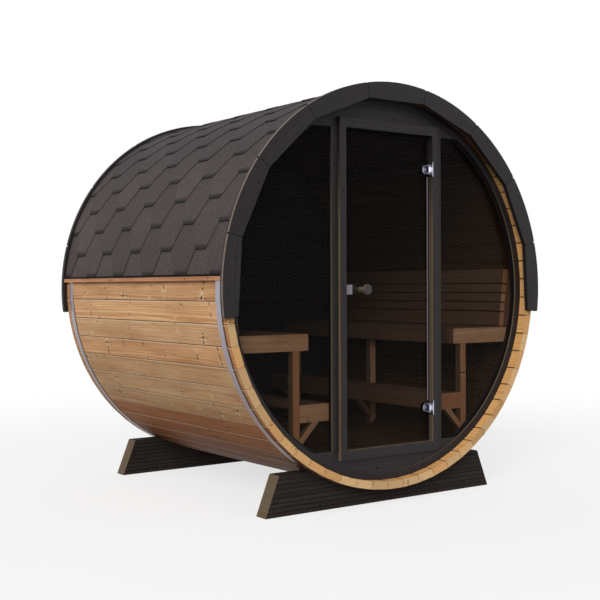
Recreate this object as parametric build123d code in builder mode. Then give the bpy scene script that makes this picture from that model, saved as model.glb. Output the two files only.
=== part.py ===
"""Barrel sauna: a coopered stave cabin on two cradles, with a glazed front and a glass door.

Millimetres. X runs to the right seen from the front, Y runs from the front to the back along the
barrel, Z is up. The ground is z = 0 and the barrel's middle is x = 0, y = 0.
"""

import os
from math import asin, atan, cos, degrees, radians, sin, sqrt, tan

from build123d import *

# Barrel shell
barrel_diameter = 2040.0  # across the flats of the staves, outside
stave_length = 1752.0
stave_thickness = 40.0
stave_count = 60
stave_gap = 0.6  # open joint between two staves
stave_chamfer = 3.0
tongue_width = 11.0
tongue_depth = 7.0
tongue_clearance = 1.2
croze_depth = 10.0  # groove that holds an end wall
seat_clearance = 0.3

# Cradles
barrel_lift = 77.0  # ground to the lowest stave
cradle_thickness = 83.0
cradle_setback = 83.0  # from the stave ends
cradle_foot_width = 1492.0
cradle_top_width = 1334.0
cradle_height = 199.0

# Front and rear walls, measured back from the stave ends
wall_setback = 51.0  # face of the trim ring
trim_depth = 13.0
wall_depth = 30.0
panel_setback = 4.0  # panels lie this far behind the trim ring's face
trim_width = 40.0
rim_width = 54.0
lower_panel_height = 174.0  # lowest stave's inner face to the lower edge of the windows
upper_panel_height = 176.0  # highest stave's inner face to the upper edge of the windows
window_glass_thickness = 6.0
window_glass_cover = 20.0  # glass reaches this far behind the trim ring
post_width = 38.0
ring_part_count = 18

# Door frame and door
frame_width = 660.0
frame_proud = 21.0  # in front of the trim ring's face
jamb_width = 40.0
rail_height = 49.0
door_glass_thickness = 8.0
door_clearance = 7.0
hinge_inset = 169.0  # door edge to the middle of a hinge
hinge_leaf_height = 75.0
hinge_leaf_thickness = 4.0
hinge_leaf_depth = 22.0
hinge_leaf_proud = 4.0  # in front of the jamb
hinge_pin_offset = 13.0  # from the jamb
knuckle_radius = 6.5
knuckle_height = 26.0
knuckle_gap = 1.0
clamp_height = 50.0
clamp_reach = 36.0  # from the pin along the glass
clamp_thickness = 6.0
clamp_boss_radius = 9.0
clamp_boss_height = 5.0
knob_lift = 796.0  # door's lower edge to the knob's middle
knob_inset = 108.0  # door edge to the knob's middle
knob_radius = 27.5
knob_stem_radius = 12.0
knob_stem_length = 42.0
knob_rim_depth = 6.0
knob_bevel = 4.5
knob_foot_radius = 16.0
knob_foot_depth = 5.0
knob_bolt_radius = 5.0
latch_width = 51.0
latch_height = 49.0
latch_thickness = 5.0

# Roof covering, eave battens, fascia and straps
shingle_edge_angle = 86.2  # from the ridge to the lower edge
course_count = 12  # on each side of the ridge
course_thin = 5.0
course_thick = 9.0
ridge_cap_width = 150.0
ridge_cap_thickness = 4.0
batten_height = 25.0
batten_thickness = 19.0
fascia_proud = 26.0  # beyond the outer faces of the staves
fascia_lap = 27.0  # inside the inner faces of the staves, at the middle of the straight edge
fascia_thickness = 24.0
fascia_count = 9
fascia_half_angle = 97.3
fascia_gap = 1.2
fascia_corner = 9.0
strap_width = 41.0
strap_thickness = 1.5
strap_setback = 39.0

# Floor
floor_lift = 133.0  # above the lowest stave's inner face
floor_board_count = 7
floor_board_gap = 8.0
floor_board_thickness = 25.0
floor_edge_gap = 11.0  # between the outer boards and the staves
floor_bearer_thickness = 60.0

# Benches
bench_setback = 84.0  # stave end to the first bench frame
bench_lift = 628.0  # above the floor
bench_depth = 436.0
bench_wall_gap = 23.4  # staves to the bench's outer edge, level with the underside of its slats
bearer_height = 82.0
bearer_thickness = 28.0
bench_rail_thickness = 25.0
bench_slat_thickness = 28.0
bench_slat_count = 4
bench_slat_gap = 8.0
leg_inset = 54.0  # bench's edge to the legs
leg_width = 40.0
leg_depth = 40.0
step_lift = 280.0  # above the floor
step_depth = 182.0  # from the legs to the step's edge
step_bearer_height = 87.0
step_slat_count = 2
brace_width = 30.0
brace_reach = 118.0
brace_drop = 122.0
frame_count = 3
backrest_lift = 5.0  # above the bench
backrest_foot_gap = 84.2  # staves to the face of the backrest, level with its lower edge
backrest_head_gap = 63.2  # and level with its upper edge
backrest_slat_thickness = 34.0
backrest_wide_slat = 80.0
backrest_narrow_slat = 47.0
backrest_slat_gap = 6.0
backrest_post_depth = 60.0

# One overrun for cuts
overrun = 20.0

# Worked out from the values above
outer_radius = barrel_diameter / 2
inner_radius = outer_radius - stave_thickness
stave_angle = 360 / stave_count
half_stave = radians(stave_angle / 2)
flats_turn = stave_angle / 2
axis_height = barrel_lift + outer_radius
front_end = -stave_length / 2
rear_end = stave_length / 2
front_wall_face = front_end + wall_setback
front_glass_face = front_wall_face + trim_depth
front_wall_back = front_wall_face + wall_depth
rear_wall_face = rear_end - wall_setback
rear_wall_back = rear_wall_face - wall_depth
croze_width = wall_depth - trim_depth
wall_radius = inner_radius + croze_depth - seat_clearance
trim_radius = inner_radius - seat_clearance
trim_inner_radius = inner_radius - trim_width
rim_inner_radius = inner_radius - rim_width
sill_level = lower_panel_height - inner_radius
lintel_level = inner_radius - upper_panel_height
frame_face = front_wall_face - frame_proud
frame_depth = front_wall_back - frame_face
frame_bottom = sill_level - rail_height
frame_top = lintel_level + rail_height
opening_half_width = frame_width / 2 - jamb_width
window_inner = frame_width / 2 + post_width
door_half_width = opening_half_width - door_clearance
door_bottom = sill_level + door_clearance
door_top = lintel_level - door_clearance
door_back = front_glass_face + door_glass_thickness
upper_hinge_level = door_top - hinge_inset
lower_hinge_level = door_bottom + hinge_inset
hinge_levels = (upper_hinge_level, lower_hinge_level)
pin_x = opening_half_width - hinge_pin_offset
leaf_front = frame_face - hinge_leaf_proud
leaf_rear = leaf_front + hinge_leaf_depth
pin_y = leaf_rear - knuckle_radius
knob_x = knob_inset - door_half_width
knob_level = door_bottom + knob_lift
eave_level = outer_radius * cos(radians(shingle_edge_angle))
batten_bottom = eave_level - batten_height
fascia_step = 2 * fascia_half_angle / fascia_count
fascia_radius = outer_radius + fascia_proud
fascia_chord_radius = inner_radius - fascia_lap
floor_level = floor_lift - inner_radius
floor_under = floor_level - floor_board_thickness
floor_half_width = sqrt(inner_radius**2 - floor_under**2) - floor_edge_gap
bench_level = floor_level + bench_lift
step_level = floor_level + step_lift
bench_outer = sqrt(inner_radius**2 - (bench_level - bench_slat_thickness) ** 2) - bench_wall_gap
bench_inner = bench_outer - bench_depth
leg_inner = bench_inner + leg_inset
step_inner = leg_inner - step_depth
bearer_bottom = bench_level - bearer_height
step_bottom = step_level - step_bearer_height
first_frame_y = front_end + bench_setback
rail_length = -2 * (first_frame_y + bearer_thickness)
bench_shell = inner_radius - seat_clearance


def section(y):
    """Upright plane across the barrel's axis at y: local x is X, local y is Z above the axis.

    An extrusion from it runs towards the front.
    """
    return Plane(origin=(0, y, axis_height), x_dir=(1, 0, 0), z_dir=(0, -1, 0))


def flats(apothem, mode=Mode.ADD):
    """A polygon with one side to each stave, with its flats this far from the axis."""
    RegularPolygon(apothem, stave_count, major_radius=False, rotation=flats_turn, mode=mode)


def polar(radius, angle_from_top):
    """A point at this radius and this many degrees clockwise from the top, seen from the front."""
    return (radius * sin(radians(angle_from_top)), radius * cos(radians(angle_from_top)))


def box_between(left, right, bottom, top, mode=Mode.ADD):
    """A rectangle between these local x and y values."""
    with Locations(((left + right) / 2, (bottom + top) / 2)):
        Rectangle(right - left, top - bottom, mode=mode)


# Staves: bevelled to the barrel's joint planes, with a tongue on one edge and a groove on the other
def joint_half_width(radius):
    """Half the width of a stave at this distance from the axis."""
    return radius * tan(half_stave) - stave_gap / 2


tongue_middle = (inner_radius + outer_radius) / 2
groove_low = tongue_middle - tongue_width / 2
groove_high = tongue_middle + tongue_width / 2
tongue_low = groove_low + tongue_clearance
tongue_high = groove_high - tongue_clearance
groove_floor = tongue_depth + tongue_clearance
inner_bevel = inner_radius + stave_chamfer
outer_bevel = outer_radius - stave_chamfer

with BuildSketch() as stave_profile:
    with BuildLine():
        Polyline(
            (inner_radius, stave_chamfer - joint_half_width(inner_radius)),
            (inner_bevel, -joint_half_width(inner_bevel)),
            (groove_low, -joint_half_width(groove_low)),
            (groove_low, groove_floor - joint_half_width(groove_low)),
            (groove_high, groove_floor - joint_half_width(groove_high)),
            (groove_high, -joint_half_width(groove_high)),
            (outer_bevel, -joint_half_width(outer_bevel)),
            (outer_radius, stave_chamfer - joint_half_width(outer_radius)),
            (outer_radius, joint_half_width(outer_radius) - stave_chamfer),
            (outer_bevel, joint_half_width(outer_bevel)),
            (tongue_high, joint_half_width(tongue_high)),
            (tongue_high, joint_half_width(tongue_high) + tongue_depth),
            (tongue_low, joint_half_width(tongue_low) + tongue_depth),
            (tongue_low, joint_half_width(tongue_low)),
            (inner_bevel, joint_half_width(inner_bevel)),
            (inner_radius, joint_half_width(inner_radius) - stave_chamfer),
            close=True,
        )
    make_face()

quarter_count = stave_count // 4
quarter_range = (quarter_count - 1) * stave_angle


def staves(middle_angle):
    """A quarter of the barrel's staves around this angle, with the croze cut near both ends."""
    with BuildSketch(section(rear_end)) as stave_ends:
        with PolarLocations(0, quarter_count, middle_angle - quarter_range / 2, quarter_range, endpoint=True):
            add(stave_profile.sketch)
    extrude(stave_ends.sketch, amount=stave_length)
    for croze_rear in (front_wall_back, rear_wall_back + croze_width):
        with BuildSketch(section(croze_rear)) as croze:
            flats(inner_radius + croze_depth)
        extrude(croze.sketch, amount=croze_width, mode=Mode.SUBTRACT)


with BuildPart() as right_staves:
    staves(0)

with BuildPart() as top_staves:
    staves(90)

with BuildPart() as left_staves:
    staves(180)

with BuildPart() as bottom_staves:
    staves(270)


# Cradles
def cradle(rear):
    """A cradle board with slanted ends, and a seat cut to the staves' flats."""
    with BuildSketch(section(rear)) as board:
        with BuildLine():
            Polyline(
                (-cradle_foot_width / 2, -axis_height),
                (cradle_foot_width / 2, -axis_height),
                (cradle_top_width / 2, cradle_height - axis_height),
                (-cradle_top_width / 2, cradle_height - axis_height),
                close=True,
            )
        make_face()
        flats(outer_radius, mode=Mode.SUBTRACT)
    extrude(board.sketch, amount=cradle_thickness)


with BuildPart() as front_cradle:
    cradle(front_end + cradle_setback + cradle_thickness)

with BuildPart() as rear_cradle:
    cradle(rear_end - cradle_setback)


# Straps round the lower half of the barrel, from batten to batten
def strap(rear):
    """A steel strap bent over the staves' flats."""
    with BuildSketch(section(rear)) as hoop:
        flats(outer_radius + strap_thickness)
        flats(outer_radius, mode=Mode.SUBTRACT)
        box_between(
            -outer_radius - overrun, outer_radius + overrun, batten_bottom, outer_radius + overrun, mode=Mode.SUBTRACT
        )
    extrude(hoop.sketch, amount=strap_width)


with BuildPart() as front_strap:
    strap(front_end + strap_setback + strap_width)

with BuildPart() as rear_strap:
    strap(rear_end - strap_setback)

# Roof covering: overlapping courses on each side, thick at their lower edges, and a cap on the ridge
course_angle = shingle_edge_angle / course_count
cap_angle = degrees(asin(ridge_cap_width / 2 / (outer_radius + course_thick)))
bearing_radius = outer_radius / cos(half_stave)
bearing_count = int((shingle_edge_angle + flats_turn) // stave_angle)
course_line = []
for course in range(course_count):
    course_line.append(polar(outer_radius + course_thick, shingle_edge_angle - course * course_angle))
    course_line.append(polar(outer_radius + course_thin, shingle_edge_angle - (course + 1) * course_angle))
cap_radius = outer_radius + course_thick + ridge_cap_thickness
ridge_line = [polar(outer_radius + course_thin, cap_angle), polar(cap_radius, cap_angle), polar(cap_radius, 0)]
bearing_line = [polar(bearing_radius, k * stave_angle + flats_turn) for k in range(bearing_count)]
edge_foot = polar(outer_radius / cos(radians(shingle_edge_angle - bearing_count * stave_angle)), shingle_edge_angle)

with BuildPart() as shingle_roof:
    with BuildSketch(section(rear_end)):
        with BuildLine():
            Polyline(
                (0, outer_radius),
                *bearing_line,
                edge_foot,
                *course_line,
                close=True,
            )
        make_face()
        with BuildLine():
            Polyline((0, outer_radius), *ridge_line, close=True)
        make_face()
        mirror(about=Plane.YZ)
    extrude(amount=stave_length)

# Eave battens under the lower edges of the covering
with BuildPart() as eave_battens:
    with BuildSketch(section(rear_end)):
        box_between(bearing_radius, bearing_radius + batten_thickness, batten_bottom, eave_level)
        mirror(about=Plane.YZ)
    extrude(amount=stave_length)

# Fascia: sawn boards with a straight inner edge and a curved outer edge, over the ends of the staves
half_fascia = radians(fascia_step / 2)
fascia_inner_half = fascia_chord_radius * tan(half_fascia) - fascia_gap / 2
fascia_outer_half = fascia_radius * sin(half_fascia) - fascia_gap / 2
fascia_outer_foot = sqrt(fascia_radius**2 - fascia_outer_half**2)

with BuildSketch() as fascia_profile:
    with BuildLine():
        Line((fascia_chord_radius, -fascia_inner_half), (fascia_outer_foot, -fascia_outer_half))
        ThreePointArc((fascia_outer_foot, -fascia_outer_half), (fascia_radius, 0), (fascia_outer_foot, fascia_outer_half))
        Line((fascia_outer_foot, fascia_outer_half), (fascia_chord_radius, fascia_inner_half))
        Line((fascia_chord_radius, fascia_inner_half), (fascia_chord_radius, -fascia_inner_half))
    make_face()
    fillet(fascia_profile.vertices().group_by(Axis.X)[-1], fascia_corner)


def fascia(rear):
    """The fascia boards of one end, from just below one eave to just below the other."""
    with BuildSketch(section(rear)) as boards:
        with PolarLocations(
            0,
            fascia_count,
            90 - fascia_half_angle + fascia_step / 2,
            2 * fascia_half_angle - fascia_step,
            endpoint=True,
        ):
            add(fascia_profile.sketch)
    extrude(boards.sketch, amount=fascia_thickness)


with BuildPart() as front_fascia:
    fascia(front_end)

with BuildPart() as rear_fascia:
    fascia(rear_end + fascia_thickness)

# Front wall
ring_step = 360 / ring_part_count


def ring_parts(inner, outer):
    """A ring of short curved parts, with an open joint between each two."""
    Circle(outer)
    Circle(inner, mode=Mode.SUBTRACT)
    with PolarLocations(0, ring_part_count, ring_step / 2):
        with Locations(((inner + outer) / 2, 0)):
            Rectangle(outer - inner + overrun, stave_gap, mode=Mode.SUBTRACT)


with BuildPart() as front_trim_ring:
    with BuildSketch(section(front_glass_face)):
        ring_parts(trim_inner_radius, trim_radius)
    extrude(amount=trim_depth)


def wall_panel(bottom, top):
    """The part of the front wall between these levels: a rabbeted edge seats it in the croze."""
    notch = frame_width / 2 + seat_clearance
    for rear, depth, radius in (
        (front_wall_back, croze_width, wall_radius),
        (front_glass_face, trim_depth - panel_setback, trim_inner_radius - seat_clearance),
    ):
        with BuildSketch(section(rear)) as layer:
            Circle(radius)
            box_between(-outer_radius, outer_radius, bottom, top, mode=Mode.INTERSECT)
            box_between(
                -notch, notch, frame_bottom - seat_clearance, frame_top + seat_clearance, mode=Mode.SUBTRACT
            )
        extrude(layer.sketch, amount=depth)


with BuildPart() as front_lower_panel:
    wall_panel(-outer_radius, sill_level)

with BuildPart() as front_upper_panel:
    wall_panel(lintel_level, outer_radius)

with BuildPart() as wall_posts:
    with BuildSketch(section(front_wall_back)):
        box_between(
            frame_width / 2 + seat_clearance, window_inner, sill_level + seat_clearance, lintel_level - seat_clearance
        )
        mirror(about=Plane.YZ)
    extrude(amount=wall_depth)

with BuildPart() as window_rims:
    with BuildSketch(section(front_wall_back)):
        ring_parts(rim_inner_radius, wall_radius)
        box_between(
            -outer_radius, outer_radius, sill_level + seat_clearance, lintel_level - seat_clearance, mode=Mode.INTERSECT
        )
    extrude(amount=croze_width - window_glass_thickness - seat_clearance)

with BuildPart() as right_window:
    with BuildSketch(section(front_glass_face + window_glass_thickness)):
        Circle(trim_inner_radius + window_glass_cover)
        box_between(
            window_inner + seat_clearance,
            outer_radius,
            sill_level + seat_clearance,
            lintel_level - seat_clearance,
            mode=Mode.INTERSECT,
        )
    extrude(amount=window_glass_thickness)

with BuildPart() as left_window:
    mirror(right_window.part, about=Plane.YZ)

# Door frame
with BuildPart() as right_jamb:
    with BuildSketch(section(front_wall_back)):
        box_between(opening_half_width, frame_width / 2, frame_bottom, frame_top)
    extrude(amount=frame_depth)

with BuildPart() as left_jamb:
    mirror(right_jamb.part, about=Plane.YZ)

with BuildPart() as door_head:
    with BuildSketch(section(front_wall_back)):
        box_between(-opening_half_width, opening_half_width, lintel_level, frame_top)
    extrude(amount=frame_depth)

with BuildPart() as door_sill:
    with BuildSketch(section(front_wall_back)):
        box_between(-opening_half_width, opening_half_width, frame_bottom, sill_level)
    extrude(amount=frame_depth)

# Hinges: a leaf with the middle knuckle and the pin on the jamb, a clamp with two knuckles on the glass
clamp_knuckle_height = (clamp_height - knuckle_height) / 2 - knuckle_gap
clamp_knuckle_start = knuckle_height / 2 + knuckle_gap
pin_radius = knuckle_radius / 2
leaf_face = opening_half_width - hinge_leaf_thickness


def level_plane(level):
    """Level plane at this height above the barrel's axis."""
    return Plane.XY.offset(axis_height + level)


with BuildPart() as hinge_leaves:
    for level in hinge_levels:
        with BuildSketch(level_plane(level - hinge_leaf_height / 2)):
            box_between(leaf_face, opening_half_width, leaf_front, leaf_rear)
        extrude(amount=hinge_leaf_height)
        with BuildSketch(level_plane(level - knuckle_height / 2)):
            with Locations((pin_x, pin_y)):
                Circle(knuckle_radius)
            box_between(pin_x, leaf_face, pin_y - pin_radius, pin_y + pin_radius)
        extrude(amount=knuckle_height)
        with BuildSketch(level_plane(level - clamp_height / 2)):
            with Locations((pin_x, pin_y)):
                Circle(pin_radius)
        extrude(amount=clamp_height)

# Door: glass, hinge clamps, knobs and latch plates
bolt_x = pin_x - clamp_reach + clamp_height / 2

with BuildPart() as door_glass:
    with BuildSketch(section(door_back)):
        box_between(-door_half_width, door_half_width, door_bottom, door_top)
        with Locations((knob_x, knob_level)):
            Circle(knob_bolt_radius + seat_clearance, mode=Mode.SUBTRACT)
        with Locations([(bolt_x, level) for level in hinge_levels]):
            Circle(knob_bolt_radius + seat_clearance, mode=Mode.SUBTRACT)
    extrude(amount=door_glass_thickness)


def clamp_plate(level):
    """D shaped plate: square at the pin's end and round along the glass."""
    plate_bottom = level - clamp_height / 2
    plate_top = level + clamp_height / 2
    with Locations((bolt_x, level)):
        Circle(clamp_height / 2)
    box_between(bolt_x, pin_x, plate_bottom, plate_top)
    box_between(pin_x - clamp_reach, pin_x - knuckle_radius, plate_bottom, plate_top, mode=Mode.INTERSECT)


with BuildPart() as hinge_clamps:
    for level in hinge_levels:
        with BuildSketch(section(front_glass_face)):
            clamp_plate(level)
        extrude(amount=clamp_thickness)
        with BuildSketch(section(door_back + clamp_thickness)):
            clamp_plate(level)
        extrude(amount=clamp_thickness)
        with BuildSketch(section(door_back)):
            with Locations((bolt_x, level)):
                Circle(knob_bolt_radius)
        extrude(amount=door_glass_thickness)
        with BuildSketch(section(front_glass_face - clamp_thickness)):
            with Locations((bolt_x, level)):
                Circle(clamp_boss_radius)
        extrude(amount=clamp_boss_height)
        for start in (clamp_knuckle_start, -clamp_knuckle_start - clamp_knuckle_height):
            with BuildSketch(level_plane(level + start)):
                with Locations((pin_x, pin_y)):
                    Circle(knuckle_radius)
                box_between(pin_x - 2 * knuckle_radius, pin_x, pin_y, front_glass_face - clamp_thickness)
                with Locations((pin_x, pin_y)):
                    Circle(pin_radius + seat_clearance, mode=Mode.SUBTRACT)
            extrude(amount=clamp_knuckle_height)

# The knob's half outline, as distance from its axis and distance from the glass
knob_waist_end = knob_foot_depth + knob_stem_length
knob_rim_start = knob_waist_end + knob_bevel
knob_rim_end = knob_rim_start + knob_rim_depth
knob_length = knob_rim_end + knob_bevel
knob_face_radius = knob_radius - knob_bevel
knob_plane = Plane(
    origin=(knob_x, front_glass_face, axis_height + knob_level), x_dir=(1, 0, 0), z_dir=(0, 0, 1)
)
knob_rear_plane = Plane(origin=(knob_x, door_back, axis_height + knob_level), x_dir=(1, 0, 0), z_dir=(0, 0, -1))

with BuildSketch() as knob_profile:
    with BuildLine():
        Polyline(
            (0, 0),
            (knob_foot_radius, 0),
            (knob_foot_radius, -knob_foot_depth),
            (knob_stem_radius, -knob_foot_depth),
            (knob_stem_radius, -knob_waist_end),
            (knob_face_radius, -knob_waist_end),
            (knob_radius, -knob_rim_start),
            (knob_radius, -knob_rim_end),
            (knob_face_radius, -knob_length),
            (0, -knob_length),
            close=True,
        )
    make_face()

with BuildPart() as door_knobs:
    for place in (knob_plane, knob_rear_plane):
        with BuildSketch(place):
            add(knob_profile.sketch)
        revolve(axis=Axis((knob_x, 0, axis_height + knob_level), (0, 1, 0)))
    with BuildSketch(section(door_back)):
        with Locations((knob_x, knob_level)):
            Circle(knob_bolt_radius)
    extrude(amount=door_glass_thickness)

with BuildPart() as latch_plates:
    for rear in (front_glass_face, door_back + latch_thickness):
        with BuildSketch(section(rear)):
            box_between(
                -door_half_width,
                latch_width - door_half_width,
                knob_level - latch_height / 2,
                knob_level + latch_height / 2,
            )
        extrude(amount=latch_thickness)

# Rear wall: rabbeted into its croze like the front panels
with BuildPart() as rear_wall:
    with BuildSketch(section(rear_wall_back + croze_width)):
        flats(wall_radius)
    extrude(amount=croze_width)
    with BuildSketch(section(rear_wall_face)):
        flats(trim_radius)
    extrude(amount=trim_depth)


# Frames across the barrel: one at each end wall and the others evenly between
def frame_rear(place, thickness):
    """Rear face of the piece of this thickness in this frame: the end frames stand flush outwards."""
    first = first_frame_y + thickness
    last = -first_frame_y
    return first + place * (last - first) / (frame_count - 1)


# Floor: boards along the barrel on bearers cut to the staves
floor_start = front_wall_back + seat_clearance
floor_length = rear_wall_back - seat_clearance - floor_start
floor_pitch = (2 * floor_half_width + floor_board_gap) / floor_board_count

with BuildPart() as floor_boards:
    with BuildSketch(section(floor_start + floor_length)):
        with Locations((0, floor_level - floor_board_thickness / 2)):
            with GridLocations(floor_pitch, floor_board_thickness, floor_board_count, 1):
                Rectangle(floor_pitch - floor_board_gap, floor_board_thickness)
    extrude(amount=floor_length)

with BuildPart() as floor_bearers:
    for place in range(frame_count):
        with BuildSketch(section(frame_rear(place, floor_bearer_thickness))):
            flats(bench_shell)
            box_between(-floor_half_width, floor_half_width, -inner_radius, floor_under, mode=Mode.INTERSECT)
        extrude(amount=floor_bearer_thickness)


# Right bench: frames across the barrel carry rails and slats along it
last_frame = frame_count - 1
slat_seat = bench_level - bench_slat_thickness
step_seat = step_level - bench_slat_thickness
bench_slat_start = bench_inner + bench_rail_thickness + bench_slat_gap
bench_slat_pitch = (bench_outer - bench_slat_start + bench_slat_gap) / bench_slat_count
step_slat_start = step_inner + bench_rail_thickness + bench_slat_gap
step_slat_pitch = (leg_inner - step_slat_start) / step_slat_count

with BuildPart() as right_bench_bearers:
    for place in range(frame_count):
        at_end = place in (0, last_frame)
        bearer_inner = bench_inner if at_end else bench_inner + bench_rail_thickness
        step_bearer_inner = step_inner if at_end else step_inner + bench_rail_thickness
        with BuildSketch(section(frame_rear(place, bearer_thickness))):
            flats(bench_shell)
            box_between(
                bearer_inner, outer_radius, bearer_bottom, bench_level if at_end else slat_seat, mode=Mode.INTERSECT
            )
            box_between(step_bearer_inner, leg_inner, step_bottom, step_level if at_end else step_seat)
        extrude(amount=bearer_thickness)

with BuildPart() as right_bench_legs:
    for place in range(frame_count):
        with BuildSketch(section(frame_rear(place, leg_depth))):
            flats(bench_shell)
            box_between(leg_inner, leg_inner + leg_width, -inner_radius, bearer_bottom, mode=Mode.INTERSECT)
        extrude(amount=leg_depth)

with BuildPart() as right_bench_rails:
    with BuildSketch(section(rail_length / 2)):
        box_between(bench_inner, bench_inner + bench_rail_thickness, bearer_bottom, bench_level)
        box_between(step_inner, step_inner + bench_rail_thickness, step_bottom, step_level)
    extrude(amount=rail_length)

with BuildPart() as right_bench_slats:
    with BuildSketch(section(rail_length / 2)):
        for slat in range(bench_slat_count):
            slat_left = bench_slat_start + slat * bench_slat_pitch
            box_between(slat_left, slat_left + bench_slat_pitch - bench_slat_gap, slat_seat, bench_level)
        for slat in range(step_slat_count):
            slat_left = step_slat_start + slat * step_slat_pitch
            box_between(slat_left, slat_left + step_slat_pitch - bench_slat_gap, step_seat, step_level)
    extrude(amount=rail_length)

with BuildPart() as right_step_braces:
    for place in range(frame_count):
        with BuildSketch(section(frame_rear(place, bearer_thickness))):
            with BuildLine():
                Polyline(
                    (leg_inner - brace_reach, step_bottom),
                    (leg_inner - brace_reach + sqrt(2) * brace_width, step_bottom),
                    (leg_inner, step_bottom - brace_drop + sqrt(2) * brace_width),
                    (leg_inner, step_bottom - brace_drop),
                    close=True,
                )
            make_face()
        extrude(amount=bearer_thickness)

# Right backrest: slats along the barrel that lean with it, on posts shaped to the staves
backrest_widths = (
    backrest_wide_slat,
    backrest_narrow_slat,
    backrest_narrow_slat,
    backrest_narrow_slat,
    backrest_wide_slat,
)
backrest_height = sum(backrest_widths) + backrest_slat_gap * (len(backrest_widths) - 1)
backrest_foot = bench_level + backrest_lift
backrest_head = backrest_foot + backrest_height
backrest_inner = sqrt(inner_radius**2 - backrest_foot**2) - backrest_foot_gap
backrest_upper = sqrt(inner_radius**2 - backrest_head**2) - backrest_head_gap
backrest_lean = degrees(atan((backrest_upper - backrest_inner) / backrest_height))
backrest_plane = Plane(
    origin=(backrest_inner, rail_length / 2, axis_height + backrest_foot),
    x_dir=(cos(radians(backrest_lean)), 0, -sin(radians(backrest_lean))),
    z_dir=(0, -1, 0),
)

with BuildPart() as right_backrest_slats:
    with BuildSketch(backrest_plane):
        slat_bottom = 0
        for slat_width in backrest_widths:
            box_between(0, backrest_slat_thickness, slat_bottom, slat_bottom + slat_width)
            slat_bottom += slat_width + backrest_slat_gap
    extrude(amount=rail_length)

post_foot = backrest_inner + (backrest_slat_thickness + seat_clearance) / cos(radians(backrest_lean))
post_lean = tan(radians(backrest_lean))
post_length = backrest_height * cos(radians(backrest_lean)) - backrest_slat_gap

with BuildPart() as right_backrest_posts:
    for place in range(frame_count):
        with BuildSketch(section(frame_rear(place, backrest_post_depth))):
            with BuildLine():
                Polyline(
                    (post_foot, backrest_foot),
                    (outer_radius, backrest_foot),
                    (outer_radius, backrest_foot + post_length),
                    (post_foot + post_length * post_lean, backrest_foot + post_length),
                    close=True,
                )
            make_face()
            flats(bench_shell, mode=Mode.INTERSECT)
        extrude(amount=backrest_post_depth)

# Left bench and backrest
with BuildPart() as left_bench_bearers:
    mirror(right_bench_bearers.part, about=Plane.YZ)

with BuildPart() as left_bench_legs:
    mirror(right_bench_legs.part, about=Plane.YZ)

with BuildPart() as left_bench_rails:
    mirror(right_bench_rails.part, about=Plane.YZ)

with BuildPart() as left_bench_slats:
    mirror(right_bench_slats.part, about=Plane.YZ)

with BuildPart() as left_step_braces:
    mirror(right_step_braces.part, about=Plane.YZ)

with BuildPart() as left_backrest_slats:
    mirror(right_backrest_slats.part, about=Plane.YZ)

with BuildPart() as left_backrest_posts:
    mirror(right_backrest_posts.part, about=Plane.YZ)

pieces = {
    "front_cradle": front_cradle,
    "rear_cradle": rear_cradle,
    "bottom_staves": bottom_staves,
    "left_staves": left_staves,
    "right_staves": right_staves,
    "top_staves": top_staves,
    "front_strap": front_strap,
    "rear_strap": rear_strap,
    "shingle_roof": shingle_roof,
    "eave_battens": eave_battens,
    "front_fascia": front_fascia,
    "rear_fascia": rear_fascia,
    "front_trim_ring": front_trim_ring,
    "front_lower_panel": front_lower_panel,
    "front_upper_panel": front_upper_panel,
    "wall_posts": wall_posts,
    "window_rims": window_rims,
    "left_window": left_window,
    "right_window": right_window,
    "left_jamb": left_jamb,
    "right_jamb": right_jamb,
    "door_head": door_head,
    "door_sill": door_sill,
    "hinge_leaves": hinge_leaves,
    "door_glass": door_glass,
    "hinge_clamps": hinge_clamps,
    "door_knobs": door_knobs,
    "latch_plates": latch_plates,
    "rear_wall": rear_wall,
    "floor_boards": floor_boards,
    "floor_bearers": floor_bearers,
    "left_bench_bearers": left_bench_bearers,
    "left_bench_legs": left_bench_legs,
    "left_bench_rails": left_bench_rails,
    "left_bench_slats": left_bench_slats,
    "left_step_braces": left_step_braces,
    "left_backrest_slats": left_backrest_slats,
    "left_backrest_posts": left_backrest_posts,
    "right_bench_bearers": right_bench_bearers,
    "right_bench_legs": right_bench_legs,
    "right_bench_rails": right_bench_rails,
    "right_bench_slats": right_bench_slats,
    "right_step_braces": right_step_braces,
    "right_backrest_slats": right_backrest_slats,
    "right_backrest_posts": right_backrest_posts,
}

os.makedirs("parts", exist_ok=True)
for name, piece in pieces.items():
    piece.part.label = name
    export_step(piece.part, f"parts/{name}.step")
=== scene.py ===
"""Looks of the barrel sauna: timber, shingles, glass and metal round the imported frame."""

import math
import random

import bmesh
import bpy
import numpy as np
from mathutils import Matrix, Vector


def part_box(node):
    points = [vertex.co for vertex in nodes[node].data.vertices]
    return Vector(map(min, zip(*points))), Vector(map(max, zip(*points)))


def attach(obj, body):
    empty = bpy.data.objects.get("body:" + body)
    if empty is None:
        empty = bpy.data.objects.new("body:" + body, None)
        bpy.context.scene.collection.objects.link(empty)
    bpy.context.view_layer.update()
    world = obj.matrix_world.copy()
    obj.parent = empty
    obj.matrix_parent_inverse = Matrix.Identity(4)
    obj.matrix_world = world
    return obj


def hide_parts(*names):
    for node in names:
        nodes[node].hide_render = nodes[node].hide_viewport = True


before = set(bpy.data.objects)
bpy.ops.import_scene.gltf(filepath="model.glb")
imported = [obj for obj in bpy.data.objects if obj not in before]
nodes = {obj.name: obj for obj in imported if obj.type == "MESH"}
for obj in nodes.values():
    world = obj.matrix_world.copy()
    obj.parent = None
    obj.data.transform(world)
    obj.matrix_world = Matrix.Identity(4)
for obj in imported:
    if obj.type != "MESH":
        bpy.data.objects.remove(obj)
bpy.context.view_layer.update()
scene = bpy.context.scene

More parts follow.
